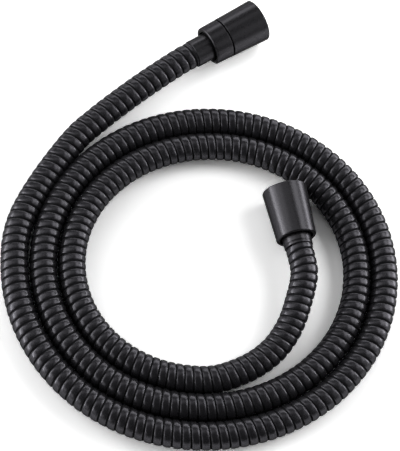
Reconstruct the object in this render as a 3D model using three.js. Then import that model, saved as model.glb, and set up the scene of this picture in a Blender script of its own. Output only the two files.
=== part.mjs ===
// Shower hose: an interlocked metal hose over a rubber water tube. One end has a plain conical
// union nut, and the other a conical nut on a swivel that keeps the hose from twisting.
// Millimetres, +Z up. It lies on its side in a loose flat coil, and the origin is under the
// middle of its box, on the surface it lies on.

import * as THREE from 'three';

// Clearances
const seat_gap = 0.3;
const parting_gap = 0.6;

// Facets around the turned pieces and round an O-ring's section
const nut_facets = 32;
const inner_facets = 24;
const o_ring_facets = 8;

// Hose and water tube
const hose_diameter = 15.6;
const hose_wall = 1.05;
const hose_sides = 10;
const hose_steps = 110;
const liner_diameter = 10.6;
const liner_bore = 8.0;
const liner_sides = 8;

// Union nuts, for a half-inch pipe thread
const mouth_diameter = 25.7;
const mouth_chamfer = 0.7;
const thread_diameter = 20.96;
const nut_lip_radius = 0.9;
const plain_nut_length = 30.5;
const plain_rear_diameter = 22.9;
const plain_recess_diameter = 19.2;
const plain_recess_depth = 12.0;

// Swivel cone: the front nut and the rear collar share one taper
const swivel_nut_length = 24.0;
const collar_length = 10.8;
const collar_rear_diameter = 23.2;
const collar_recess_diameter = 18.6;

// Sealing washers
const washer_depth = 8.7;
const washer_thickness = 2.0;
const washer_bore = 11.0;
const washer_side_gap = 0.9;

// Ferrules
const ferrule_diameter = 16.3;
const plain_ferrule_show = 5.5;
const swivel_ferrule_show = 10.6;
const spigot_length = 3.0;
const bead_width = 1.4;
const bead_groove = 0.35;

// Tails pushed into the water tube
const tail_bore = 4.8;
const flange_thickness = 2.6;
const barb_count = 3;
const barb_pitch = 4.6;
const barb_height = 0.45;
const barb_rise = 0.5;
const barb_undercut = 0.6;
const tail_neck = 1.0;

// Swivel
const plug_diameter = 11.0;
const plug_recess = 0.8;
const plug_lip = 1.2;
const clip_seat_depth = 3.4;
const clip_thickness = 0.8;
const clip_reach = 1.4;
const clip_groove_depth = 0.9;
const clip_opening = 50;
const clip_room = 0.6;
const o_ring_land = 2.3;
const o_ring_pitch = 4.0;
const o_ring_groove_width = 2.2;
const o_ring_groove_depth = 1.2;
const o_ring_squeeze_gap = 0.15;
const barrel_wall = 2.6;
const spindle_bore_length = 10.4;
const thrust_washer_thickness = 0.8;
const thrust_washer_width = 1.2;
const tail_shoulder_thickness = 1.8;

// Lie of the two ends: middle of each mouth, and its heading in plan. The plain nut leans on the
// innermost turn, which lifts its rim a little, and the swivel cone lies along its side.
const plain_lift = 0.4;
const plain_mouth = new THREE.Vector3(26.5, 55.35, mouth_diameter / 2 + plain_lift);
const plain_heading = 119.6;
const plain_pitch = -2.2;
const swivel_mouth = new THREE.Vector3(-19.4, 155.4, mouth_diameter / 2);
const swivel_heading = 50.2;

// Lie of the coil: an oval spiral, swept clockwise from a first to a last angle
const coil_centre = new THREE.Vector2(-0.1, -1.8);
const coil_radius = 87.6;
const coil_pitch = 15.75;
const coil_oval = 3.6;
const coil_oval_heading = 29.3;
const coil_zero_heading = 45;
const coil_first = 115;
const coil_last = 940;
const coil_step = 15;
const coil_middle = 540;

// Lie of the two leads, from the fittings to the coil
const straight_lead = 6.0;
const plain_lead = [
  [51.2, 11.0, 14.5],
  [52.7, 2.6, 13.7],
  [53.2, -6.4, 12.6],
  [53.3, -15.8, 11.4],
  [52.0, -25.3, 10.2],
  [49.0, -34.9, 9.1],
  [43.8, -44.0, 8.4],
  [36.6, -52.4, 8.0],
];
const swivel_lead = [
  [-95.6, 44.5, 7.9],
  [-87.6, 61.1, 8.4],
  [-78.1, 77.5, 9.2],
  [-67.1, 94.8, 10.1],
];

// Sizes that follow from the ones above
const hose_radius = hose_diameter / 2;
const spigot_radius = (hose_radius - hose_wall) * Math.cos(Math.PI / hose_sides) - seat_gap;
const ferrule_radius = ferrule_diameter / 2;
const ferrule_bore_radius = liner_diameter / 2 + seat_gap;
const barb_radius = (liner_bore / 2) * Math.cos(Math.PI / liner_sides) - seat_gap;
const mouth_radius = mouth_diameter / 2;
const thread_radius = thread_diameter / 2;
const flange_radius = thread_radius - washer_side_gap - seat_gap / 2;
const flange_depth = washer_depth + washer_thickness + seat_gap;
const shoulder_depth = flange_depth + flange_thickness + seat_gap;
const plug_radius = plug_diameter / 2;
const spindle_bore_radius = plug_radius + seat_gap;
const barrel_radius = spindle_bore_radius + barrel_wall;
const collar_depth = swivel_nut_length + parting_gap;
const swivel_length = collar_depth + collar_length;
const swivel_taper = Math.atan((mouth_radius - collar_rear_diameter / 2) / swivel_length);
const swivel_pitch = THREE.MathUtils.radToDeg(swivel_taper);
const plain_hose_depth = plain_nut_length + plain_ferrule_show;
const swivel_hose_depth = swivel_length + swivel_ferrule_show;
const clip_ledge = flange_depth + clip_seat_depth;
const thrust_ledge = clip_ledge + spindle_bore_length;
const tail_shoulder_depth = thrust_ledge + thrust_washer_thickness + 2 * seat_gap;
const tail_shoulder_radius = plug_radius + thrust_washer_width + seat_gap;
const spindle_end = tail_shoulder_depth + tail_shoulder_thickness;
const plug_front = flange_depth + plug_recess;
const clip_front = clip_ledge - clip_thickness - seat_gap;
const clip_root = plug_radius - clip_groove_depth;
const clip_outer_radius = clip_root + seat_gap + clip_reach;
const first_o_ring = clip_ledge + o_ring_land + o_ring_groove_width / 2;

// Materials
const black_steel = new THREE.MeshStandardMaterial({ color: 0x1b1b1d, roughness: 0.42, metalness: 0.7 });
const black_brass = new THREE.MeshStandardMaterial({ color: 0x1a1a1b, roughness: 0.38, metalness: 0.6 });
const bare_brass = new THREE.MeshStandardMaterial({ color: 0xb08d4c, roughness: 0.35, metalness: 1.0 });
const tube_rubber = new THREE.MeshStandardMaterial({ color: 0x2a2a2a, roughness: 0.9, metalness: 0.0 });
const seal_rubber = new THREE.MeshStandardMaterial({ color: 0x0e0e0e, roughness: 0.8, metalness: 0.0 });
const spring_steel = new THREE.MeshStandardMaterial({ color: 0xb4b6b8, roughness: 0.3, metalness: 1.0 });
const white_acetal = new THREE.MeshStandardMaterial({ color: 0xe6e4de, roughness: 0.6, metalness: 0.0 });

// A turned piece: its profile is a list of [radius, depth behind the mouth], and the mouth faces +Y
function turned(name, material, profile, segments) {
  const points = profile.map(([radius, depth]) => new THREE.Vector2(radius, -depth));
  if (THREE.ShapeUtils.area(points) < 0) points.reverse();
  points.push(points[0].clone());
  const mesh = new THREE.Mesh(new THREE.LatheGeometry(points, segments), material);
  mesh.name = name;
  return mesh;
}

// Outer radius of a cone that narrows from the mouth to its rear end
function taper(rear_diameter, length, depth) {
  return mouth_radius - (mouth_radius - rear_diameter / 2) * (depth / length);
}

// The mouth of either nut: chamfered rim and threaded bore, down to the shoulder
function threaded_mouth(throat_radius) {
  return [
    [mouth_radius - mouth_chamfer, 0],
    [thread_radius + mouth_chamfer / 2, 0],
    [thread_radius, mouth_chamfer],
    [thread_radius, shoulder_depth],
    [throat_radius, shoulder_depth],
  ];
}

// A rear rim rounded over from the cone into the recess
function rounded_rim(outer_radius, depth) {
  const midway = nut_lip_radius * (1 - Math.SQRT1_2);
  return [
    [outer_radius, depth - nut_lip_radius],
    [outer_radius - midway, depth - midway],
    [outer_radius - nut_lip_radius, depth],
  ];
}

// Turned nut of the plain end: its shoulder bears on the tail's flange
function plain_nut() {
  const throat = ferrule_radius + seat_gap;
  const recess = plain_recess_diameter / 2;
  const recess_floor = plain_nut_length - plain_recess_depth;
  const rear = taper(plain_rear_diameter, plain_nut_length, plain_nut_length - nut_lip_radius);
  const front = taper(plain_rear_diameter, plain_nut_length, mouth_chamfer);
  return turned('plain_nut', black_brass, [
    [recess, plain_nut_length],
    ...rounded_rim(rear, plain_nut_length).reverse(),
    [front, mouth_chamfer],
    ...threaded_mouth(throat),
    [throat, recess_floor],
    [recess, recess_floor + (recess - throat)],
  ], nut_facets);
}

// Turned nut of the swivel end: its shoulder bears on the spindle's flange
function swivel_nut() {
  const throat = barrel_radius + seat_gap;
  const rear = taper(collar_rear_diameter, swivel_length, swivel_nut_length);
  const front = taper(collar_rear_diameter, swivel_length, mouth_chamfer);
  return turned('swivel_nut', black_brass, [
    [throat, swivel_nut_length],
    [rear, swivel_nut_length],
    [front, mouth_chamfer],
    ...threaded_mouth(throat),
  ], nut_facets);
}

// Collar pressed on the spindle's barrel: it carries the nut's taper on, over the ferrule
function swivel_collar() {
  const bore = barrel_radius + seat_gap;
  const recess = collar_recess_diameter / 2;
  const front = taper(collar_rear_diameter, swivel_length, collar_depth);
  const rear = taper(collar_rear_diameter, swivel_length, swivel_length - nut_lip_radius);
  return turned('swivel_collar', black_brass, [
    [bore, collar_depth],
    [front, collar_depth],
    ...rounded_rim(rear, swivel_length),
    [recess, swivel_length],
    [recess, spindle_end + seat_gap],
    [bore, spindle_end + seat_gap],
  ], nut_facets);
}

// Flat rubber washer in the nut's thread, against the flange
function washer(name) {
  const outer = thread_radius - washer_side_gap;
  return turned(name, seal_rubber, [
    [washer_bore / 2, washer_depth + washer_thickness],
    [outer, washer_depth + washer_thickness],
    [outer, washer_depth],
    [washer_bore / 2, washer_depth],
  ], inner_facets);
}

// Ferrule: a sleeve over the end of the water tube, with a spigot that holds the metal hose
function ferrule(name, front, rear) {
  const groove = ferrule_radius - bead_groove;
  return turned(name, black_brass, [
    [ferrule_bore_radius, rear + spigot_length],
    [spigot_radius, rear + spigot_length],
    [spigot_radius, rear],
    [ferrule_radius, rear],
    [ferrule_radius, rear - bead_width],
    [groove, rear - bead_width - bead_groove],
    [ferrule_radius, rear - bead_width - 2 * bead_groove],
    [ferrule_radius, front],
    [ferrule_bore_radius, front],
  ], nut_facets);
}

// The barbs that hold the water tube, from a neck down to a bare end
function barbs(start) {
  const points = [[barb_radius - barb_height, start]];
  for (let i = 0; i < barb_count; i += 1) {
    const crest = start + barb_rise + i * barb_pitch;
    const foot = crest + barb_pitch - barb_undercut;
    points.push([barb_radius, crest], [barb_radius - barb_height, foot]);
  }
  return points;
}

// Depth at which the water tube ends, just behind the neck of a tail
function liner_end(tail_back) {
  return tail_back + tail_neck + seat_gap;
}

// Tail of the plain end: a flange that the nut draws up, and a barbed stem
function plain_tail() {
  const back = flange_depth + flange_thickness;
  const neck = liner_diameter / 2;
  const stem = barbs(back + tail_neck);
  const tip = stem[stem.length - 1][1];
  return turned('plain_tail', bare_brass, [
    [tail_bore / 2, flange_depth],
    [flange_radius, flange_depth],
    [flange_radius, back],
    [neck, back],
    [neck, back + tail_neck],
    ...stem,
    [tail_bore / 2, tip],
  ], inner_facets);
}

// Spindle that the swivel nut clamps: the plug turns in its bore, between clip and thrust washer
function swivel_spindle() {
  const clip_pocket = clip_outer_radius + seat_gap + clip_room;
  const shoulder_pocket = tail_shoulder_radius + seat_gap;
  return turned('swivel_spindle', bare_brass, [
    [clip_pocket, flange_depth],
    [flange_radius, flange_depth],
    [flange_radius, flange_depth + flange_thickness],
    [barrel_radius, flange_depth + flange_thickness],
    [barrel_radius, spindle_end],
    [shoulder_pocket, spindle_end],
    [shoulder_pocket, thrust_ledge],
    [spindle_bore_radius, thrust_ledge],
    [spindle_bore_radius, clip_ledge],
    [clip_pocket, clip_ledge],
  ], inner_facets);
}

// Tail of the swivel end: a plug with a clip groove and two O-ring grooves, a shoulder and barbs
function swivel_tail() {
  const ring_root = plug_radius - o_ring_groove_depth;
  const half = o_ring_groove_width / 2;
  const grooves = [0, 1].flatMap((i) => {
    const middle = first_o_ring + i * o_ring_pitch;
    return [
      [plug_radius, middle - half],
      [ring_root, middle - half],
      [ring_root, middle + half],
      [plug_radius, middle + half],
    ];
  });
  const neck = liner_diameter / 2;
  const stem = barbs(spindle_end + tail_neck);
  const tip = stem[stem.length - 1][1];
  return turned('swivel_tail', bare_brass, [
    [tail_bore / 2, plug_front],
    [plug_radius, plug_front],
    [plug_radius, plug_front + plug_lip],
    [clip_root, plug_front + plug_lip],
    [clip_root, clip_ledge],
    [plug_radius, clip_ledge],
    ...grooves,
    [plug_radius, tail_shoulder_depth],
    [tail_shoulder_radius, tail_shoulder_depth],
    [tail_shoulder_radius, spindle_end],
    [neck, spindle_end],
    [neck, spindle_end + tail_neck],
    ...stem,
    [tail_bore / 2, tip],
  ], inner_facets);
}

// O-ring between the plug and the spindle's bore
function o_ring(name, depth) {
  const root = plug_radius - o_ring_groove_depth + o_ring_squeeze_gap;
  const crown = spindle_bore_radius - o_ring_squeeze_gap;
  const middle = (root + crown) / 2;
  const thickness = (crown - root) / 2;
  const section = [];
  for (let i = 0; i < o_ring_facets; i += 1) {
    const angle = (i * 2 * Math.PI) / o_ring_facets;
    section.push([middle + thickness * Math.cos(angle), depth + thickness * Math.sin(angle)]);
  }
  return turned(name, seal_rubber, section, inner_facets);
}

// Low-friction washer between the tail's shoulder and the spindle
function thrust_washer() {
  const front = thrust_ledge + seat_gap;
  return turned('thrust_washer', white_acetal, [
    [plug_radius + seat_gap, front],
    [plug_radius + seat_gap + thrust_washer_width, front],
    [plug_radius + seat_gap + thrust_washer_width, front + thrust_washer_thickness],
    [plug_radius + seat_gap, front + thrust_washer_thickness],
  ], inner_facets);
}

// Open spring clip in the plug's front groove, punched from flat strip
function retaining_clip() {
  const inner = clip_root + seat_gap;
  const half_opening = THREE.MathUtils.degToRad(clip_opening / 2);
  const shape = new THREE.Shape();
  shape.absarc(0, 0, clip_outer_radius, half_opening, 2 * Math.PI - half_opening, false);
  shape.absarc(0, 0, inner, 2 * Math.PI - half_opening, half_opening, true);
  const geometry = new THREE.ExtrudeGeometry(shape, {
    depth: clip_thickness,
    bevelEnabled: false,
    curveSegments: 16,
  });
  geometry.rotateX(Math.PI / 2);
  const mesh = new THREE.Mesh(geometry, spring_steel);
  mesh.name = 'retaining_clip';
  mesh.position.y = -clip_front;
  return mesh;
}

// A fitting's own frame: its origin is the middle of the mouth, and its +Y points out of it
function fitting_frame(mouth, heading, pitch) {
  const frame = new THREE.Group();
  const plan = THREE.MathUtils.degToRad(heading);
  const rise = THREE.MathUtils.degToRad(pitch);
  const out = new THREE.Vector3(
    Math.cos(plan) * Math.cos(rise),
    Math.sin(plan) * Math.cos(rise),
    Math.sin(rise),
  );
  frame.quaternion.setFromUnitVectors(new THREE.Vector3(0, 1, 0), out);
  frame.position.copy(mouth);
  frame.updateMatrixWorld();
  return frame;
}

// One turn after another of the flat coil, from the plain lead to the swivel lead
function coil_points() {
  const points = [];
  for (let swept = coil_first; swept <= coil_last; swept += coil_step) {
    const heading = THREE.MathUtils.degToRad(coil_zero_heading - swept);
    const turns = (swept - coil_middle) / 360;
    const oval = coil_oval * Math.cos(2 * (heading - THREE.MathUtils.degToRad(coil_oval_heading)));
    const radius = coil_radius + coil_pitch * turns + oval;
    points.push(new THREE.Vector3(
      coil_centre.x + radius * Math.cos(heading),
      coil_centre.y + radius * Math.sin(heading),
      hose_radius,
    ));
  }
  return points;
}

// Centre line of the metal hose, from ferrule to ferrule
function hose_route(plain_end, swivel_end) {
  const on_axis = (frame, depth) => frame.localToWorld(new THREE.Vector3(0, -depth, 0));
  return new THREE.CatmullRomCurve3([
    on_axis(plain_end, plain_hose_depth + seat_gap),
    on_axis(plain_end, plain_hose_depth + seat_gap + straight_lead),
    ...plain_lead.map((point) => new THREE.Vector3(...point)),
    ...coil_points(),
    ...swivel_lead.map((point) => new THREE.Vector3(...point)),
    on_axis(swivel_end, swivel_hose_depth + seat_gap + straight_lead),
    on_axis(swivel_end, swivel_hose_depth + seat_gap),
  ]);
}

// A tube of flat-sided section along a route, with an edge at its top and bottom
function tube_along(name, material, route, steps, outer_radius, inner_radius, sides) {
  const polygon = (radius) => Array.from({ length: sides }, (_, i) => {
    const angle = (i * 2 * Math.PI) / sides;
    return new THREE.Vector2(radius * Math.cos(angle), radius * Math.sin(angle));
  });
  const section = new THREE.Shape(polygon(outer_radius));
  section.holes.push(new THREE.Path(polygon(inner_radius)));
  const geometry = new THREE.ExtrudeGeometry(section, { steps, extrudePath: route, bevelEnabled: false });
  const mesh = new THREE.Mesh(geometry, material);
  mesh.name = name;
  return mesh;
}

const plain_end = fitting_frame(plain_mouth, plain_heading, plain_pitch);
plain_end.add(
  plain_nut(),
  washer('plain_washer'),
  plain_tail(),
  ferrule('plain_ferrule', shoulder_depth, plain_hose_depth),
);

const swivel_end = fitting_frame(swivel_mouth, swivel_heading, swivel_pitch);
swivel_end.add(
  swivel_nut(),
  washer('swivel_washer'),
  swivel_spindle(),
  swivel_collar(),
  swivel_tail(),
  o_ring('front_o_ring', first_o_ring),
  o_ring('rear_o_ring', first_o_ring + o_ring_pitch),
  retaining_clip(),
  thrust_washer(),
  ferrule('swivel_ferrule', spindle_end + seat_gap, swivel_hose_depth),
);

const route = hose_route(plain_end, swivel_end);
const outer_hose = tube_along(
  'outer_hose', black_steel, route, hose_steps, hose_radius, hose_radius - hose_wall, hose_sides,
);

// The water tube runs on past both ends of the metal hose, into the ferrules
const liner_route = new THREE.CurvePath();
const plain_liner_depth = liner_end(flange_depth + flange_thickness);
const swivel_liner_depth = liner_end(spindle_end);
liner_route.add(new THREE.LineCurve3(
  plain_end.localToWorld(new THREE.Vector3(0, -plain_liner_depth, 0)),
  route.points[0],
));
liner_route.add(route);
liner_route.add(new THREE.LineCurve3(
  route.points[route.points.length - 1],
  swivel_end.localToWorld(new THREE.Vector3(0, -swivel_liner_depth, 0)),
));
const inner_tube = tube_along(
  'inner_tube', tube_rubber, liner_route, hose_steps, liner_diameter / 2, liner_bore / 2, liner_sides,
);

// The whole hose, with its origin under the middle of its box
const shower_hose = new THREE.Group();
shower_hose.name = 'shower_hose';
shower_hose.add(outer_hose, inner_tube, plain_end, swivel_end);
shower_hose.updateMatrixWorld(true);
const box = new THREE.Box3().setFromObject(shower_hose, true);
const middle = box.getCenter(new THREE.Vector3());
shower_hose.position.set(-middle.x, -middle.y, -box.min.z);
shower_hose.updateMatrixWorld(true);

export default shower_hose;
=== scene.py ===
"""Shower hose: the finished look of an interlocked metal hose with a union nut at each end.

Sections follow the hose as it is put together, from the water tube outwards. The profiles of the
turned pieces are in millimetres, with depths from the mouth of their fitting. All else is in
metres.
"""

import math

import bmesh
import bpy
import numpy as np
from mathutils import Matrix, Vector


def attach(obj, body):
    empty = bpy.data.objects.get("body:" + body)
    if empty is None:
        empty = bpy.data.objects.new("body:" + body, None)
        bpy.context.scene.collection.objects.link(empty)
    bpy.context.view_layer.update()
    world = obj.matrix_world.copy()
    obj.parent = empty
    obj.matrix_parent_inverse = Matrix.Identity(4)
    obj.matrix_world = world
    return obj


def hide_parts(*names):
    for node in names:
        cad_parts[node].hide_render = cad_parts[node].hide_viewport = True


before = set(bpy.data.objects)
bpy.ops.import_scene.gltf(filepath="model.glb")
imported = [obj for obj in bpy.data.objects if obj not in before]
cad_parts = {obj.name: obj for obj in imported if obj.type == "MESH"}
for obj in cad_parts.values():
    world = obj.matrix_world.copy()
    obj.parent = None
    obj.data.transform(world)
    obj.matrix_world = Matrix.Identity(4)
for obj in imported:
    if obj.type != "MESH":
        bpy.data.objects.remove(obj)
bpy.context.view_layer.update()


# Water tube.
# The real one is an extruded rubber tube that runs through the whole metal hose and is pushed
# over the barbs of both tails. It is hidden, so the plain solid stays and only gets its rubber.
def shader_of(material):
    """The material's own Principled shader."""
    return material.node_tree.nodes["Principled BSDF"]


def plain_finish(name, colour, metallic, roughness):
    """A material whose colour, metal and gloss are the same all over."""
    material = bpy.data.materials.new(name)
    material.use_nodes = True
    shader = shader_of(material)
    shader.inputs["Base Color"].default_value = (*colour, 1.0)
    shader.inputs["Metallic"].default_value = metallic
    shader.inputs["Roughness"].default_value = roughness
    return material


def add_grain(material, scale, smoothest, roughest, bump, place=None, squeeze=(1, 1, 1)):
    """Uneven gloss and a fine bump from noise, in the piece's own space or a stored one."""
    noise_low, noise_high, noise_detail = 0.3, 0.7, 4.0
    tree = material.node_tree
    if place is None:
        source = tree.nodes.new("ShaderNodeTexCoord").outputs["Object"]
    else:
        stored = tree.nodes.new("ShaderNodeAttribute")
        stored.attribute_name = place
        source = stored.outputs["Vector"]
    mapping = tree.nodes.new("ShaderNodeMapping")
    mapping.inputs["Scale"].default_value = squeeze
    tree.links.new(source, mapping.inputs["Vector"])
    noise = tree.nodes.new("ShaderNodeTexNoise")
    noise.inputs["Scale"].default_value = scale
    noise.inputs["Detail"].default_value = noise_detail
    tree.links.new(mapping.outputs["Vector"], noise.inputs["Vector"])
    spread = tree.nodes.new("ShaderNodeMapRange")
    spread.inputs["From Min"].default_value = noise_low
    spread.inputs["From Max"].default_value = noise_high
    spread.inputs["To Min"].default_value = smoothest
    spread.inputs["To Max"].default_value = roughest
    tree.links.new(noise.outputs["Fac"], spread.inputs["Value"])
    tree.links.new(spread.outputs["Result"], shader_of(material).inputs["Roughness"])
    relief = tree.nodes.new("ShaderNodeBump")
    relief.inputs["Strength"].default_value = 1.0
    relief.inputs["Distance"].default_value = bump
    tree.links.new(noise.outputs["Fac"], relief.inputs["Height"])
    tree.links.new(relief.outputs["Normal"], shader_of(material).inputs["Normal"])


tube_rubber = plain_finish("water_tube_rubber", (0.045, 0.045, 0.045), 0.0, 0.75)
add_grain(tube_rubber, 900, 0.65, 0.85, 0.00003)
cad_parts["inner_tube"].data.materials.clear()
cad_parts["inner_tube"].data.materials.append(tube_rubber)


# Metal hose.
# Stainless steel strip, folded at both edges and wound so that each turn locks in the last one,
# then finished satin black. It lies in a loose flat coil, each end over a ferrule's spigot.

# Which way the fittings point, where their mouths are, and the points of the hose's route, which
# are those of the plain solid
plain_axis = Vector((-0.493578, 0.868854, -0.038388))
plain_mouth = Vector((0.030471, 0.028354, 0.013241))
swivel_axis = Vector((0.639711, 0.767805, 0.035289))
swivel_mouth = Vector((-0.015429, 0.128404, 0.012841))
plain_hose_depth = 0.0363
swivel_hose_depth = 0.0463
straight_lead = 0.006
plain_lead = [
    (0.05517, -0.01600, 0.0145),
    (0.05667, -0.02440, 0.0137),
    (0.05717, -0.03340, 0.0126),
    (0.05727, -0.04280, 0.0114),
    (0.05597, -0.05230, 0.0102),
    (0.05297, -0.06190, 0.0091),
    (0.04777, -0.07100, 0.0084),
    (0.04057, -0.07940, 0.0080),
]
swivel_lead = [
    (-0.09163, 0.01750, 0.0079),
    (-0.08363, 0.03410, 0.0084),
    (-0.07413, 0.05050, 0.0092),
    (-0.06313, 0.06780, 0.0101),
]
hose_diameter = 0.0156
line_spacing = 0.0005


def coil_points():
    """The flat coil, turn after turn, clockwise from the plain lead to the swivel lead.

    Its radius grows with the angle swept, and its outline is a little oval.
    """
    centre_x, centre_y = 0.003871, -0.028796
    middle_radius, growth_per_turn = 0.0876, 0.01575
    oval, oval_heading = 0.0036, 29.3
    start_heading, first_angle, middle_angle, last_angle, angle_step = 45, 115, 540, 940, 15
    points = []
    for swept in range(first_angle, last_angle + 1, angle_step):
        heading = math.radians(start_heading - swept)
        bulge = oval * math.cos(2 * (heading - math.radians(oval_heading)))
        reach = middle_radius + growth_per_turn * (swept - middle_angle) / 360 + bulge
        points.append(
            (
                centre_x + reach * math.cos(heading),
                centre_y + reach * math.sin(heading),
                hose_diameter / 2,
            )
        )
    return points


def smooth_line(points, spacing):
    """A smooth line through the points, in even steps, and the distance along it at each."""
    steps_between = 60
    points = np.array([list(p) for p in points])
    points = np.vstack([2 * points[0] - points[1], points, 2 * points[-1] - points[-2]])
    line = []
    for a, b, c, d in zip(points, points[1:], points[2:], points[3:]):
        before, within, after = (np.linalg.norm(q - p) ** 0.5 for p, q in ((a, b), (b, c), (c, d)))
        leave = (b - a) / before - (c - a) / (before + within) + (c - b) / within
        arrive = (c - b) / within - (d - b) / (within + after) + (d - c) / after
        leave, arrive = leave * within, arrive * within
        for t in np.linspace(0, 1, steps_between, endpoint=False):
            line.append(
                b
                + leave * t
                + (3 * (c - b) - 2 * leave - arrive) * t**2
                + (2 * (b - c) + leave + arrive) * t**3
            )
    line.append(points[-2])
    line = np.array(line)
    run = np.concatenate([[0], np.cumsum(np.linalg.norm(np.diff(line, axis=0), axis=1))])
    even = np.linspace(0, run[-1], round(run[-1] / spacing) + 1)
    return np.stack([np.interp(even, run, line[:, k]) for k in range(3)], 1), even


def carried_frames(line):
    """Two directions across the line at each point, carried along it without twisting."""
    along = np.gradient(line, axis=0)
    along /= np.linalg.norm(along, axis=1)[:, None]
    across = np.zeros_like(along)
    side = np.cross(along[0], (0, 0, 1))
    for i, direction in enumerate(along):
        side = side - direction * (side @ direction)
        side = side / np.linalg.norm(side)
        across[i] = side
    return across, np.cross(along, across)


hose_line, hose_run = smooth_line(
    [
        plain_mouth - plain_axis * plain_hose_depth,
        plain_mouth - plain_axis * (plain_hose_depth + straight_lead),
        *plain_lead,
        *coil_points(),
        *swivel_lead,
        swivel_mouth - swivel_axis * (swivel_hose_depth + straight_lead),
        swivel_mouth - swivel_axis * swivel_hose_depth,
    ],
    line_spacing,
)

# The turns are a little closer where the hose was pushed together, and wider where it was pulled:
# place along the hose, and the width of a turn there
turn_widths = [
    (0.000, 0.00435),
    (0.040, 0.00445),
    (0.080, 0.00475),
    (0.120, 0.00472),
    (0.190, 0.00452),
    (0.260, 0.00466),
    (0.320, 0.00486),
    (0.430, 0.00467),
    (0.540, 0.00491),
    (0.620, 0.00484),
    (0.710, 0.00465),
    (0.830, 0.00491),
    (0.910, 0.00489),
    (0.990, 0.00479),
    (1.120, 0.00503),
    (1.200, 0.00496),
    (1.290, 0.00470),
    (1.370, 0.00482),
    (1.430, 0.00514),
    (1.508, 0.00520),
]
turn = 0.0048  # width of one turn before the hose is laid out
places, widths = zip(*turn_widths)
turns_so_far = np.concatenate(
    [[0], np.cumsum(np.diff(hose_run) / np.interp(hose_run[1:], places, widths))]
)
straight_length = turns_so_far[-1] * turn

# One turn of the strip, from groove to groove: radius and place along the hose, in millimetres
strip = [
    (7.08, 0.00),
    (7.08, 0.54),
    (7.36, 0.70),
    (7.56, 0.92),
    (7.71, 1.28),
    (7.79, 1.80),
    (7.80, 2.67),
    (7.79, 3.54),
    (7.71, 4.06),
    (7.56, 4.42),
    (7.36, 4.64),
    (7.08, 4.80),
]
hose_sides = 26
inner_wall = 0.00635
lining_cuts = 200
touching, cut_tolerance = 1e-6, 1e-7
spare_turns = 3

# The strip is wound straight first, longer than needed, and cut flat at both ends
straight = bmesh.new()
corners = [straight.verts.new((r / 1000, 0, z / 1000 - turn)) for r, z in strip]
chain = [straight.edges.new(pair) for pair in zip(corners, corners[1:])]
bmesh.ops.spin(
    straight,
    geom=corners + chain,
    cent=(0, 0, 0),
    axis=(0, 0, 1),
    dvec=(0, 0, turn / hose_sides),
    angle=2 * math.pi,
    steps=hose_sides,
    use_merge=False,
    use_duplicate=False,
)
wound = turn
while wound < straight_length + spare_turns * turn:
    so_far = straight.verts[:] + straight.edges[:] + straight.faces[:]
    copied = bmesh.ops.duplicate(straight, geom=so_far)
    more = [g for g in copied["geom"] if isinstance(g, bmesh.types.BMVert)]
    bmesh.ops.translate(straight, vec=(0, 0, wound), verts=more)
    wound *= 2
bmesh.ops.remove_doubles(straight, verts=straight.verts, dist=touching)
for height, keep_above in ((0, True), (straight_length, False)):
    bmesh.ops.bisect_plane(
        straight,
        geom=straight.verts[:] + straight.edges[:] + straight.faces[:],
        dist=cut_tolerance,
        plane_co=(0, 0, height),
        plane_no=(0, 0, 1),
        clear_inner=keep_above,
        clear_outer=not keep_above,
    )

# Its smooth inner wall is a tube, joined to the strip round both ends
lining = bmesh.ops.create_cone(
    straight,
    cap_ends=False,
    segments=hose_sides,
    radius1=inner_wall,
    radius2=inner_wall,
    depth=straight_length,
    matrix=Matrix.Translation((0, 0, straight_length / 2)),
)["verts"]
inner_corners = set(lining)
lengthwise = [
    e
    for e in straight.edges
    if e.verts[0] in inner_corners and abs(e.verts[0].co.z - e.verts[1].co.z) > turn
]
bmesh.ops.subdivide_edges(straight, edges=lengthwise, cuts=lining_cuts, use_grid_fill=True)
for height in (0, straight_length):
    rims = [
        e
        for e in straight.edges
        if e.is_boundary and all(abs(v.co.z - height) < touching for v in e.verts)
    ]
    bmesh.ops.bridge_loops(straight, edges=rims)
bmesh.ops.recalc_face_normals(straight, faces=straight.faces)
for face in straight.faces:
    face.smooth = True

# Then it is bent along the hose's line; its straight places are kept for grain and painted shade
hose_mesh = bpy.data.meshes.new("metal_hose")
straight.to_mesh(hose_mesh)
straight.free()
flat = np.empty(len(hose_mesh.vertices) * 3)
hose_mesh.vertices.foreach_get("co", flat)
unwound = flat.reshape(-1, 3)
stored = hose_mesh.attributes.new("unwound", "FLOAT_VECTOR", "POINT")
stored.data.foreach_set("vector", flat)
across, over = carried_frames(hose_line)
reached = np.interp(unwound[:, 2] / turn, turns_so_far, hose_run)
centre, sideways, upward = (
    np.stack([np.interp(reached, hose_run, part[:, k]) for k in range(3)], 1)
    for part in (hose_line, across, over)
)
bent = centre + unwound[:, :1] * sideways + unwound[:, 1:2] * upward
hose_mesh.vertices.foreach_set("co", bent.ravel())
hose_mesh.update()
metal_hose = bpy.data.objects.new("metal_hose", hose_mesh)
bpy.context.scene.collection.objects.link(metal_hose)

strip_colour, strip_metallic = (0.042, 0.041, 0.046), 0.72
# Painted shade in the grooves: a near-black colour below the first radius, the strip's colour
# above the second.
groove_shade_colour = (0.012, 0.012, 0.013)
painted_shade_below, satin_above = 0.00732, 0.00754
grain_along_strip = (1, 1, 5)


def satin_black(name, colour, metallic, roughness):
    """A black that stays dark where it is seen at a low angle."""
    material = plain_finish(name, colour, metallic, roughness)
    shader_of(material).inputs["Specular Tint"].default_value = (0.2, 0.2, 0.2, 1.0)
    return material


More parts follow.
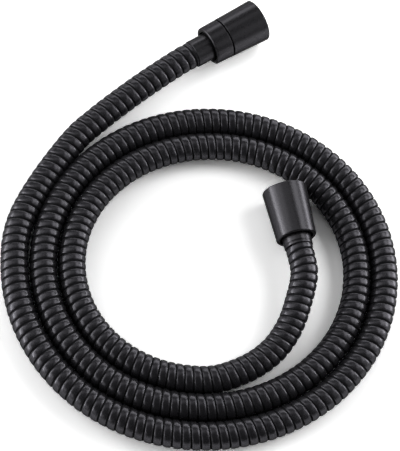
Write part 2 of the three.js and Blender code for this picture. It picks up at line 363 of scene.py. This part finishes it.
def paint_groove_shade(material):
    """Painted shade in the groove, no metal or specular, by distance from the hose's centre line.
    """
    tree = material.node_tree
    stored = tree.nodes.new("ShaderNodeAttribute")
    stored.attribute_name = "unwound"
    section = tree.nodes.new("ShaderNodeVectorMath")
    section.operation = "MULTIPLY"
    section.inputs[1].default_value = (1.0, 1.0, 0.0)
    tree.links.new(stored.outputs["Vector"], section.inputs[0])
    radius = tree.nodes.new("ShaderNodeVectorMath")
    radius.operation = "LENGTH"
    tree.links.new(section.outputs["Vector"], radius.inputs[0])
    for socket, deep, high in (
        ("Base Color", groove_shade_colour, strip_colour),
        ("Metallic", 0.0, strip_metallic),
        ("Specular IOR Level", 0.0, 0.5),
    ):
        rise = tree.nodes.new("ShaderNodeMapRange")
        rise.interpolation_type = "SMOOTHSTEP"
        rise.inputs["From Min"].default_value = painted_shade_below
        rise.inputs["From Max"].default_value = satin_above
        tree.links.new(radius.outputs["Value"], rise.inputs["Value"])
        if socket == "Base Color":
            colour = tree.nodes.new("ShaderNodeMix")
            colour.data_type = "RGBA"
            colour.inputs["A"].default_value = (*deep, 1.0)
            colour.inputs["B"].default_value = (*high, 1.0)
            tree.links.new(rise.outputs["Result"], colour.inputs["Factor"])
            tree.links.new(colour.outputs["Result"], shader_of(material).inputs[socket])
        else:
            rise.inputs["To Min"].default_value = deep
            rise.inputs["To Max"].default_value = high
            tree.links.new(rise.outputs["Result"], shader_of(material).inputs[socket])


strip_black = satin_black("satin_black_strip", strip_colour, strip_metallic, 0.26)
add_grain(strip_black, 1200, 0.22, 0.31, 0.000007, place="unwound", squeeze=grain_along_strip)
# The grooves are darkened with painted shade.
paint_groove_shade(strip_black)
hose_mesh.materials.append(strip_black)

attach(metal_hose, "hose")
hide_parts("outer_hose")


# Tails.
# Turned brass, left bare because nothing shows but the face in each mouth. The water tube is
# pushed over the barbs, and the flange or the plug at the front end holds the nut on.
def piece_from(name, shape, place, material):
    """An object at the origin, with its place in its mesh."""
    bmesh.ops.recalc_face_normals(shape, faces=shape.faces)
    shape.transform(place)
    for face in shape.faces:
        face.smooth = True
    mesh = bpy.data.meshes.new(name)
    shape.to_mesh(mesh)
    shape.free()
    mesh.materials.append(material)
    piece = bpy.data.objects.new(name, mesh)
    bpy.context.scene.collection.objects.link(piece)
    return piece


def turned(name, place, material, profile, sides=72):
    """A turned piece. Its profile is a closed list of (radius, depth, rounding) in millimetres."""
    large_rounding, merged = 0.3, 1e-7
    shape = bmesh.new()
    points = [shape.verts.new((r / 1000, 0, depth / 1000)) for r, depth, _ in profile]
    for pair in zip(points, points[1:] + points[:1]):
        shape.edges.new(pair)
    roundings = {}
    for point, (_, _, rounding) in zip(points, profile):
        roundings.setdefault(rounding, []).append(point)
    for rounding, corners in roundings.items():
        if rounding:
            bmesh.ops.bevel(
                shape,
                geom=corners,
                offset=rounding / 1000,
                offset_type="OFFSET",
                affect="VERTICES",
                segments=4 if rounding > large_rounding else 2,
                profile=0.5,
                material=-1,
            )
    bmesh.ops.spin(
        shape,
        geom=shape.verts[:] + shape.edges[:],
        cent=(0, 0, 0),
        axis=(0, 0, 1),
        dvec=(0, 0, 0),
        angle=2 * math.pi,
        steps=sides,
        use_merge=True,
        use_duplicate=False,
    )
    bmesh.ops.remove_doubles(shape, verts=shape.verts, dist=merged)
    piece = piece_from(name, shape, place, material)
    flats = piece.modifiers.new("flats_stay_flat", "WEIGHTED_NORMAL")
    flats.keep_sharp = False
    return piece


def fitting_place(mouth, axis):
    """Puts a piece's +Z from the middle of a mouth into the fitting."""
    return Matrix.Translation(mouth) @ (-axis).to_track_quat("Z", "Y").to_matrix().to_4x4()


plain_place = fitting_place(plain_mouth, plain_axis)
swivel_place = fitting_place(swivel_mouth, swivel_axis)


def barbs(start):
    """The stem behind a tail's neck: three barbs, steep in front and sloping to the rear."""
    root, crest, pitch, steep, gap = 2.95, 3.40, 4.6, 0.5, 0.6
    points = [(root, start, 0)]
    for i in range(3):
        top = start + steep + i * pitch
        points += [(crest, top, 0.1), (root, top + pitch - gap, 0)]
    return points


water_way = 2.4
neck = 5.3
flange, flange_front, flange_rear = 9.43, 11.0, 13.6
plug, ring_groove, clip_groove, shoulder = 5.5, 4.3, 4.6, 7.0

bare_brass = plain_finish("turned_brass", (0.69, 0.55, 0.30), 1.0, 0.3)
add_grain(bare_brass, 1400, 0.24, 0.36, 0.000004)
plain_tail = turned(
    "plain_tail_turned",
    plain_place,
    bare_brass,
    [
        (water_way, flange_front, 0.3),
        (flange, flange_front, 0.2),
        (flange, flange_rear, 0.2),
        (neck, flange_rear, 0),
        (neck, 14.6, 0.1),
        *barbs(14.6),
        (water_way, 28.3, 0.2),
    ],
)
swivel_tail = turned(
    "swivel_tail_turned",
    swivel_place,
    bare_brass,
    [
        (water_way, 11.8, 0.3),
        (plug, 11.8, 0.2),
        (plug, 13.0, 0),
        (clip_groove, 13.0, 0),
        (clip_groove, 14.4, 0),
        (plug, 14.4, 0.1),
        (plug, 16.7, 0.1),
        (ring_groove, 16.7, 0),
        (ring_groove, 18.9, 0),
        (plug, 18.9, 0.1),
        (plug, 20.7, 0.1),
        (ring_groove, 20.7, 0),
        (ring_groove, 22.9, 0),
        (plug, 22.9, 0.1),
        (plug, 26.2, 0),
        (shoulder, 26.2, 0.1),
        (shoulder, 28.0, 0.1),
        (neck, 28.0, 0),
        (neck, 29.0, 0.1),
        *barbs(29.0),
        (water_way, 42.7, 0.2),
    ],
)
for tail, node in ((plain_tail, "plain_tail"), (swivel_tail, "swivel_tail")):
    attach(tail, "hose")
    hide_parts(node)


# Ferrules.
# Turned brass sleeves in the same black as the nuts, each pressed over the end of the water tube,
# with a spigot in the metal hose. The plain one ends in a bead, and the swivel's is smooth.
sleeve, sleeve_bore = 8.15, 5.6
spigot, spigot_length = 6.12, 3.0
bead_groove = 7.80


def ferrule(name, place, front, rear, bead):
    """A sleeve from one depth to another, with the points of its bead and a spigot beyond it."""
    return turned(
        name,
        place,
        nut_black,
        [
            (sleeve_bore, rear + spigot_length, 0.1),
            (spigot, rear + spigot_length, 0.2),
            (spigot, rear, 0),
            (sleeve, rear, 0.35),
            *bead,
            (sleeve, front, 0.2),
            (sleeve_bore, front, 0),
        ],
    )


nut_black = satin_black("satin_black_nut", (0.042, 0.041, 0.045), 0.85, 0.29)
add_grain(nut_black, 1100, 0.26, 0.32, 0.000004)
plain_ferrule = ferrule(
    "plain_ferrule_sleeve",
    plain_place,
    13.9,
    36.0,
    [(sleeve, 34.6, 0.2), (bead_groove, 34.25, 0), (sleeve, 33.9, 0.2)],
)
swivel_ferrule = ferrule("swivel_ferrule_sleeve", swivel_place, 28.3, 46.0, [])
for end, node in ((plain_ferrule, "plain_ferrule"), (swivel_ferrule, "swivel_ferrule")):
    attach(end, "hose")
    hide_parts(node)


# Swivel's running parts.
# Two rubber O-rings in the plug's grooves keep the water in, a punched spring clip, left as its
# solid, keeps the plug in the spindle, and a white acetal washer takes the pull of the hose.
seal_rubber = plain_finish("seal_rubber", (0.02, 0.02, 0.02), 0.0, 0.6)
add_grain(seal_rubber, 1500, 0.5, 0.7, 0.000008)
white_acetal = plain_finish("white_acetal", (0.82, 0.81, 0.79), 0.0, 0.45)
add_grain(white_acetal, 1500, 0.4, 0.5, 0.000003)
spring_steel = plain_finish("spring_steel", (0.62, 0.63, 0.64), 1.0, 0.28)
add_grain(spring_steel, 1500, 0.22, 0.34, 0.000002)
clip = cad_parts["retaining_clip"]
clip.data.materials.clear()
clip.data.materials.append(spring_steel)


def o_ring(name, depth):
    """A ring of round section between the plug's groove and the spindle's bore."""
    ring_radius, section_radius, section_sides, ring_sides = 0.00505, 0.0006, 16, 60
    upright = Matrix.Rotation(math.pi / 2, 4, "X")
    shape = bmesh.new()
    bmesh.ops.create_circle(
        shape,
        cap_ends=False,
        segments=section_sides,
        radius=section_radius,
        matrix=Matrix.Translation((ring_radius, 0, depth / 1000)) @ upright,
    )
    bmesh.ops.spin(
        shape,
        geom=shape.verts[:] + shape.edges[:],
        cent=(0, 0, 0),
        axis=(0, 0, 1),
        dvec=(0, 0, 0),
        angle=2 * math.pi,
        steps=ring_sides,
        use_merge=True,
        use_duplicate=False,
    )
    return piece_from(name, shape, swivel_place, seal_rubber)


thrust_washer = turned(
    "thrust_washer_ring",
    swivel_place,
    white_acetal,
    [(5.8, 25.1, 0.05), (7.0, 25.1, 0.05), (7.0, 25.9, 0.05), (5.8, 25.9, 0.05)],
)
for ring, node, slot in (
    (o_ring("front_o_ring_moulded", 17.8), "front_o_ring", "seal_rubber"),
    (o_ring("rear_o_ring_moulded", 21.8), "rear_o_ring", "seal_rubber"),
    (thrust_washer, "thrust_washer", "white_acetal"),
):
    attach(ring, "hose")
    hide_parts(node)


# Spindle and collar of the swivel.
# The brass spindle holds the plug in its bore, and the nut pulls on its flange. The black collar
# is pressed on its barrel, which is blackened where it shows in front of the collar.
mouth_radius = 12.85
swivel_rear = (11.6, 35.4)
barrel, barrel_bore = 8.4, 5.8
clip_recess, washer_recess = 7.2, 7.3
black_from, black_to, black_outside = 0.0230, 0.0260, 0.0080
collar_front, collar_bore = 24.75, 8.7


def cone_radius(depth, rear_radius, length):
    """Outer radius of a cone that starts at the mouth and has another radius at its rear end."""
    return mouth_radius - (mouth_radius - rear_radius) * depth / length


spindle = turned(
    "swivel_spindle_turned",
    swivel_place,
    bare_brass,
    [
        (clip_recess, flange_front, 0.2),
        (flange, flange_front, 0.2),
        (flange, flange_rear, 0.2),
        (barrel, flange_rear, 0),
        (barrel, 23.0, 0),
        (barrel, 26.0, 0),
        (barrel, 28.0, 0.2),
        (washer_recess, 28.0, 0),
        (washer_recess, 24.8, 0),
        (barrel_bore, 24.8, 0.1),
        (barrel_bore, 14.4, 0.1),
        (clip_recess, 14.4, 0),
    ],
)
spindle.data.materials.append(nut_black)
for face in spindle.data.polygons:
    middle = swivel_place.inverted() @ face.center
    if middle.xy.length > black_outside and black_from < middle.z < black_to:
        face.material_index = 1
collar = turned(
    "swivel_collar_turned",
    swivel_place,
    nut_black,
    [
        (collar_bore, collar_front, 0),
        (cone_radius(collar_front, *swivel_rear), collar_front, 0.25),
        (*swivel_rear, 0.9),
        (9.3, 35.4, 0.3),
        (9.3, 28.3, 0),
        (collar_bore, 28.3, 0),
    ],
)
for part, node, slot in (
    (spindle, "swivel_spindle", "bare_brass"),
    (collar, "swivel_collar", "black_nut"),
):
    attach(part, "swivel_spindle")
    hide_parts(node)


# Union nuts.
# Turned brass with a satin black finish, a chamfered mouth and a right-hand half-inch pipe thread
# of 1.814 mm pitch. A shoulder inside draws up the flange of the tail or of the spindle.
plain_rear = (11.45, 30.5)
nut_seat = 13.9
swivel_nut_rear = 23.85
nut_sides = 96


def union_nut(name, place, outer_rear, rear):
    """A nut from its outer cone, over its mouth and its thread's root, to its throat and rear."""
    chamfer, chamfer_depth, thread_root = 10.85, 0.7, 10.48
    mouth = [
        (cone_radius(0, *outer_rear), 0, 0.55),
        (chamfer, 0, 0.15),
        (thread_root, chamfer_depth, 0.1),
        (thread_root, nut_seat, 0.15),
    ]
    return turned(name, place, nut_black, [*mouth, *rear], sides=nut_sides)


def thread(name, place):
    """The thread's ridge, wound from just inside the mouth to in front of the washer."""
    pitch, sides, turns, start = 1.814, 60, 3.5, 0.75
    shape = bmesh.new()
    ridge = [(10.52, 0.0), (9.36, 0.62), (9.36, 0.86), (10.52, 1.48)]
    corners = [shape.verts.new((r / 1000, 0, (start + z) / 1000)) for r, z in ridge]
    outline = [shape.edges.new(pair) for pair in zip(corners, corners[1:] + corners[:1])]
    bmesh.ops.spin(
        shape,
        geom=corners + outline,
        cent=(0, 0, 0),
        axis=(0, 0, 1),
        dvec=(0, 0, pitch / 1000 / sides),
        angle=turns * 2 * math.pi,
        steps=round(turns * sides),
        use_merge=False,
        use_duplicate=False,
    )
    ends = [edge for edge in shape.edges if edge.is_boundary]
    bmesh.ops.holes_fill(shape, edges=ends, sides=4)
    return piece_from(name, shape, place, nut_black)


plain_nut = union_nut(
    "plain_nut_turned",
    plain_place,
    plain_rear,
    [
        (8.45, nut_seat, 0.2),
        (8.45, 18.5, 0),
        (9.6, 19.65, 0.3),
        (9.6, 30.5, 0.35),
        (*plain_rear, 0.9),
    ],
)
swivel_nut = union_nut(
    "swivel_nut_turned",
    swivel_place,
    swivel_rear,
    [
        (8.7, nut_seat, 0.2),
        (8.7, swivel_nut_rear, 0.2),
        (cone_radius(swivel_nut_rear, *swivel_rear), swivel_nut_rear, 0.25),
    ],
)
plain_thread = thread("plain_nut_thread", plain_place)
swivel_thread = thread("swivel_nut_thread", swivel_place)
for nut, ridge, body in (
    (plain_nut, plain_thread, "plain_nut"),
    (swivel_nut, swivel_thread, "swivel_nut"),
):
    for part in (nut, ridge):
        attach(part, body)
    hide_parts(body)


# Sealing washers.
# Flat rubber rings of 2 mm, dropped into each nut on the flange. The outlet presses on them when
# the nut is screwed on.
washer_bore, washer_edge, washer_front, washer_back = 5.5, 9.58, 8.7, 10.7
for name, place, node, body in (
    ("plain_washer_ring", plain_place, "plain_washer", "plain_nut"),
    ("swivel_washer_ring", swivel_place, "swivel_washer", "swivel_nut"),
):
    ring = turned(
        name,
        place,
        seal_rubber,
        [
            (washer_bore, washer_front, 0.12),
            (washer_edge, washer_front, 0.12),
            (washer_edge, washer_back, 0.12),
            (washer_bore, washer_back, 0.12),
        ],
    )
    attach(ring, body)
    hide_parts(node)


# Camera, at the photograph's place and tilt, with its height and focal length in pixels.
photo_height = 451
focal_pixels = 1647.436
stand = Vector((-0.007837, -0.375503, 0.859580))
camera_data = bpy.data.cameras.new("camera")
camera = bpy.data.objects.new("camera", camera_data)
bpy.context.scene.collection.objects.link(camera)
right = Vector((0.945684, 0.298389, 0.129016))
up = Vector((-0.325087, 0.868021, 0.375311))
backward = Vector((0.0, -0.396867, 0.917876))
camera.matrix_world = Matrix(
    (
        (right.x, up.x, backward.x, stand.x),
        (right.y, up.y, backward.y, stand.y),
        (right.z, up.z, backward.z, stand.z),
        (0, 0, 0, 1),
    )
)
camera_data.sensor_width = 36.0
camera_data.lens = focal_pixels / photo_height * camera_data.sensor_width
camera_data.shift_x = -0.5 / photo_height
camera_data.shift_y = 0.5 / photo_height
camera_data.clip_start = 0.01
camera_data.clip_end = 20.0
bpy.context.scene.camera = camera


# Floor: white where the camera or a reflection meets it, grey for stray light, always with the
# object's shadow. It lies a hair below the hose.
floor_radius, floor_drop = 1.2, 0.0002
floor_stray, floor_seen = (0.4, 0.4, 0.4, 1.0), (1.7, 1.7, 1.7, 1.0)


def looked_at(tree):
    """One for what the camera sees, directly, mirrored or through glass, and nought otherwise."""
    rays = tree.nodes.new("ShaderNodeLightPath")
    seen = rays.outputs["Is Camera Ray"]
    for kind in ("Is Glossy Ray", "Is Transmission Ray"):
        either = tree.nodes.new("ShaderNodeMath")
        either.operation = "MAXIMUM"
        tree.links.new(seen, either.inputs[0])
        tree.links.new(rays.outputs[kind], either.inputs[1])
        seen = either.outputs["Value"]
    return seen


def pale_ground():
    """Matt paint with one colour for direct looks and another for stray light."""
    material = bpy.data.materials.new("pale_floor")
    material.use_nodes = True
    tree = material.node_tree
    tree.nodes.remove(shader_of(material))
    colour = tree.nodes.new("ShaderNodeMix")
    colour.data_type = "RGBA"
    colour.inputs["A"].default_value = floor_stray
    colour.inputs["B"].default_value = floor_seen
    tree.links.new(looked_at(tree), colour.inputs["Factor"])
    paint = tree.nodes.new("ShaderNodeBsdfDiffuse")
    tree.links.new(colour.outputs["Result"], paint.inputs["Color"])
    tree.links.new(paint.outputs["BSDF"], tree.nodes["Material Output"].inputs["Surface"])
    return material


ground_shape = bmesh.new()
bmesh.ops.create_circle(ground_shape, cap_ends=True, segments=96, radius=floor_radius)
ground = piece_from("floor", ground_shape, Matrix.Translation((0, 0, -floor_drop)), pale_ground())


# Studio light: soft panels in three rows round the object, mostly to its left and right, and one
# overhead. The room is nearly dark, and seen white along the horizon, where the floor ends.
panel_distance = 1.3
room_light, room_seen = 0.03, 1.0
white_up_to, dark_from = 0.14, 0.20


def panel(name, heading, elevation, width, height, radiance):
    """A soft light that faces the object from a heading and an elevation in degrees."""
    data = bpy.data.lights.new(name, "AREA")
    data.shape = "RECTANGLE"
    data.size = width
    data.size_y = height
    data.energy = radiance * math.pi * width * height
    lamp = bpy.data.objects.new(name, data)
    bpy.context.scene.collection.objects.link(lamp)
    plan, rise = math.radians(heading), math.radians(elevation)
    outward = Vector(
        (math.cos(plan) * math.cos(rise), math.sin(plan) * math.cos(rise), math.sin(rise))
    )
    lamp.location = outward * panel_distance
    lamp.rotation_mode = "QUATERNION"
    lamp.rotation_quaternion = outward.to_track_quat("Z", "Y")


low_row = {30: 12.3, 60: 8.9, 90: 4.5, 180: 7.8, 210: 11.7}
side_row = {0: 0.8, 30: 4.6, 90: 3.0, 120: 3.0, 180: 3.4, 210: 3.6, 240: 1.8}
high_row = {0: 0.6, 45: 3.5, 180: 1.7}
for kind, elevation, width, height, row in (
    ("low_strip", 7, 0.68, 0.32, low_row),
    ("side_panel", 23, 0.66, 0.38, side_row),
    ("high_panel", 46, 0.85, 0.62, high_row),
):
    for heading, radiance in row.items():
        panel(f"{kind}_{heading}", heading, elevation, width, height, radiance)
panel("top_panel", 135, 70, 0.85, 0.55, 0.8)

world = bpy.data.worlds.new("room")
bpy.context.scene.world = world
world.use_nodes = True
room = world.node_tree.nodes["Background"]
room.inputs["Color"].default_value = (1.0, 1.0, 1.0, 1.0)
tree = world.node_tree
direction = tree.nodes.new("ShaderNodeTexCoord")
height_up = tree.nodes.new("ShaderNodeSeparateXYZ")
tree.links.new(direction.outputs["Generated"], height_up.inputs["Vector"])
horizon = tree.nodes.new("ShaderNodeMapRange")
horizon.inputs["From Min"].default_value = white_up_to
horizon.inputs["From Max"].default_value = dark_from
horizon.inputs["To Min"].default_value = 1.0
horizon.inputs["To Max"].default_value = 0.0
tree.links.new(height_up.outputs["Z"], horizon.inputs["Value"])
seen_horizon = tree.nodes.new("ShaderNodeMath")
seen_horizon.operation = "MULTIPLY"
tree.links.new(looked_at(tree), seen_horizon.inputs[0])
tree.links.new(horizon.outputs["Result"], seen_horizon.inputs[1])
strength = tree.nodes.new("ShaderNodeMapRange")
strength.inputs["To Min"].default_value = room_light
strength.inputs["To Max"].default_value = room_seen
tree.links.new(seen_horizon.outputs["Value"], strength.inputs["Value"])
tree.links.new(strength.outputs["Result"], room.inputs["Strength"])
bpy.context.scene.view_settings.view_transform = "Standard"
